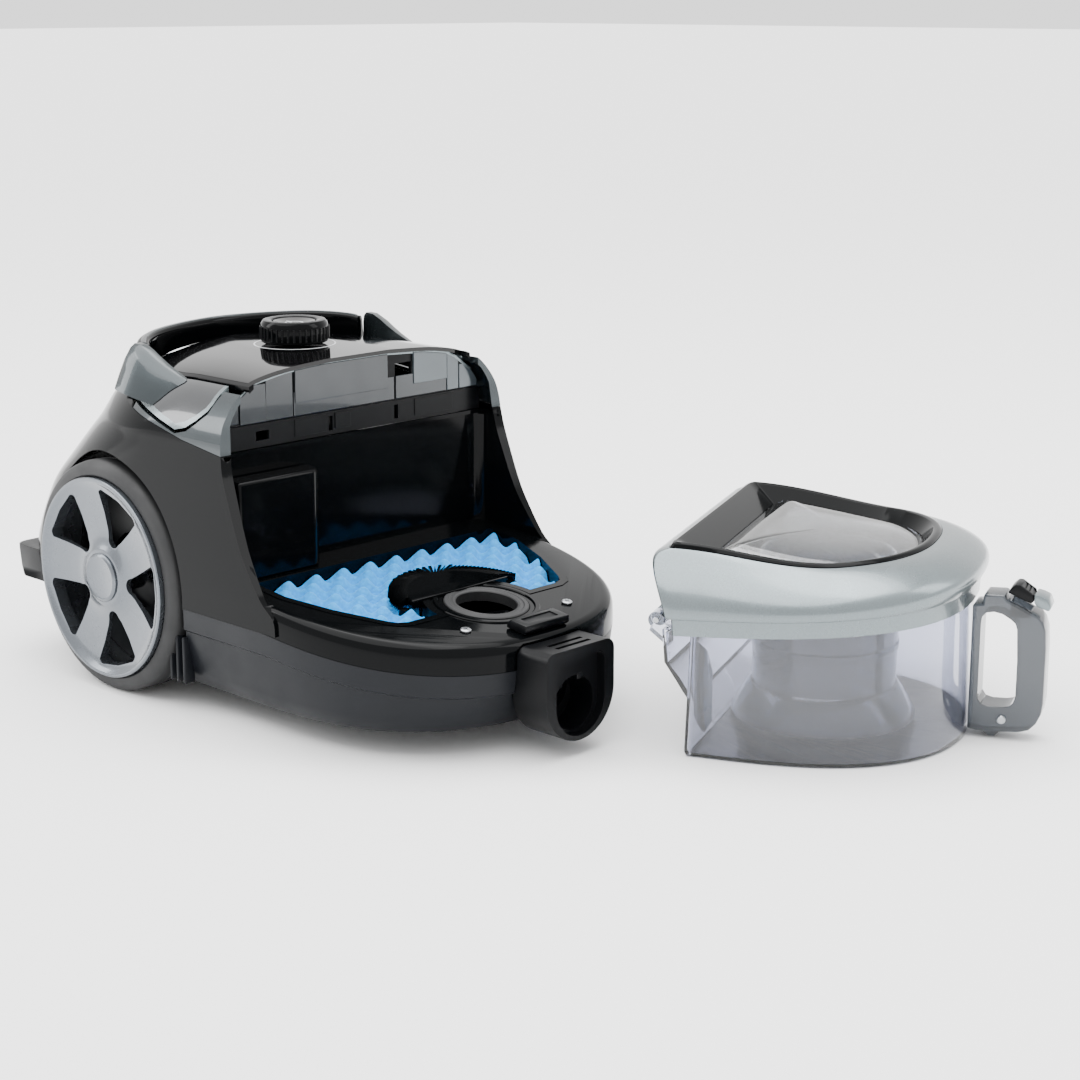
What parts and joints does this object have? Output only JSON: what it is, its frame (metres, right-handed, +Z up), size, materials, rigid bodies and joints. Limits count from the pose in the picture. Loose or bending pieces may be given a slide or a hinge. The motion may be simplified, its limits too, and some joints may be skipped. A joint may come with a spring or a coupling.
{
  "type": "canister vacuum cleaner",
  "caption": "Bagless canister vacuum cleaner on two large spoked wheels and a castor, with its clear cyclone dust bin lifted out and standing beside it.",
  "frame": {"origin": "middle of the bottom of the whole part's box, on the floor that the wheels, the castor and the bin stand on", "axes": "+X from the rear wheels towards the hose socket, +Y towards the machine's left wheel, +Z up"},
  "size_m": [0.743, 0.4728, 0.281],
  "materials": {
    "matte_black": "satin moulded black",
    "gloss_black": "high-gloss black with a faint blue cast",
    "pan_grey": "satin dark grey, lightly textured",
    "silver_paint": "silver lacquer on plastic, satin",
    "smoke": "smoky translucent polycarbonate",
    "clear": "clear polycarbonate",
    "rubber": "matt black rubber",
    "steel": "turned steel",
    "foam_blue": "open-cell blue foam",
    "copper": "enamelled copper windings",
    "board_green": "green circuit board",
    "filter_paper": "pleated filter paper"
  },
  "bodies": {
    "machine": {"lower_housing": "pan_grey", "upper_housing": "gloss_black", "hose_socket": "matte_black", "inlet_duct": "matte_black", "inlet_gasket": "rubber", "deck_screw_right": "steel", "deck_screw_left": "steel", "silver_frame": "silver_paint", "lock_strip": "matte_black", "top_cover": "gloss_black", "carry_handle": "matte_black", "rear_bumper": "matte_black", "exhaust_grille": "matte_black", "hepa_filter": "filter_paper", "cord_inlet": "rubber", "motor_housing": "matte_black", "motor_windings": "copper", "motor_mount": "rubber", "reel_spindle": "steel", "circuit_board": "board_green", "axle_pin_right": "steel", "axle_pin_left": "steel"},
    "wheel_right": {"tyre_right": "rubber", "hub_right": "silver_paint", "hub_cap_right": "silver_paint"},
    "wheel_left": {"tyre_left": "rubber", "hub_left": "silver_paint", "hub_cap_left": "silver_paint"},
    "castor_frame": {"castor_fork": "matte_black", "castor_pin": "steel"},
    "castor_wheel": {"castor_roller": "rubber"},
    "knob": {"speed_knob": "gloss_black"},
    "button": {"power_button": "steel"},
    "foot_pedal_right": {"pedal_right": "smoke", "pedal_cap_right": "silver_paint"},
    "foot_pedal_left": {"pedal_left": "smoke", "pedal_cap_left": "silver_paint"},
    "catch": {"deck_catch": "matte_black"},
    "fan": {"impeller": "steel", "motor_shaft": "steel"},
    "reel": {"cord_reel": "matte_black"},
    "filter_cassette": {"filter_frame": "matte_black", "foam_filter": "foam_blue"},
    "dust_bin": {"bin_cup": "clear", "inlet_plate": "smoke", "cyclone_shroud": "smoke", "cyclone_skirt": "smoke", "cyclone_cone": "smoke", "bin_handle": "smoke", "handle_screw": "steel", "bin_foot_clip": "smoke", "hinge_pin_right": "steel", "hinge_pin_left": "steel"},
    "bin_lid": {"lid_frame": "silver_paint", "lid_ring": "gloss_black", "lid_window": "clear", "lid_seal": "rubber"},
    "release_button": {"release_pad": "matte_black", "release_tip": "silver_paint"}
  },
  "joints": [
    {"name": "wheel_right_roll", "type": "hinge", "parent": "machine", "child": "wheel_right", "pos_m": [-0.21651, -0.2174, 0.0904], "axis": [0, 1, 0], "continuous": true},
    {"name": "wheel_left_roll", "type": "hinge", "parent": "machine", "child": "wheel_left", "pos_m": [-0.21651, 0.0446, 0.0904], "axis": [0, 1, 0], "continuous": true},
    {"name": "castor_swivel", "type": "hinge", "parent": "machine", "child": "castor_frame", "pos_m": [0.00849, -0.0864, 0.036], "axis": [0, 0, 1], "continuous": true},
    {"name": "castor_roll", "type": "hinge", "parent": "castor_frame", "child": "castor_wheel", "pos_m": [-0.00451, -0.0864, 0.015], "axis": [0, 1, 0], "continuous": true},
    {"name": "knob_turn", "type": "hinge", "parent": "machine", "child": "knob", "pos_m": [-0.15611, -0.0864, 0.27], "axis": [0, 0, 1], "range_deg": [-135, 135]},
    {"name": "power_button_press", "type": "slide", "parent": "knob", "child": "button", "axis": [0, 0, -1], "range_m": [0, 0.002], "stiffness_N_per_m": 600, "springref_m": -0.002},
    {"name": "pedal_right_press", "type": "slide", "parent": "machine", "child": "foot_pedal_right", "axis": [0, 0.7071, -0.7071], "range_m": [0, 0.002], "stiffness_N_per_m": 2500, "springref_m": -0.002},
    {"name": "pedal_left_press", "type": "slide", "parent": "machine", "child": "foot_pedal_left", "axis": [0, -0.7071, -0.7071], "range_m": [0, 0.002], "stiffness_N_per_m": 2500, "springref_m": -0.002},
    {"name": "deck_catch_slide", "type": "slide", "parent": "machine", "child": "catch", "axis": [-0.9915, 0, 0.1299], "range_m": [0, 0.003], "stiffness_N_per_m": 600, "springref_m": -0.002},
    {"name": "fan_spin", "type": "hinge", "parent": "machine", "child": "fan", "pos_m": [-0.21651, -0.0864, 0.092], "axis": [1, 0, 0], "continuous": true},
    {"name": "reel_spin", "type": "hinge", "parent": "machine", "child": "reel", "pos_m": [-0.24451, -0.0864, 0.182], "axis": [0, 0, 1], "continuous": true},
    {"name": "filter_lift", "type": "slide", "parent": "machine", "child": "filter_cassette", "axis": [0.1299, 0, 0.9915], "range_m": [0, 0.06]},
    {"name": "bin_lift", "type": "slide", "parent": "machine", "child": "dust_bin", "axis": [0, 0, 1], "range_m": [0, 0.3]},
    {"name": "bin_lid_open", "type": "hinge", "parent": "dust_bin", "child": "bin_lid", "pos_m": [0.12663, 0.06642, 0.092], "axis": [0.4067, -0.9135, 0], "range_deg": [0, 75]},
    {"name": "release_press", "type": "slide", "parent": "dust_bin", "child": "release_button", "axis": [0, 0, -1], "range_m": [0, 0.002], "stiffness_N_per_m": 500, "springref_m": -0.003}
  ]
}
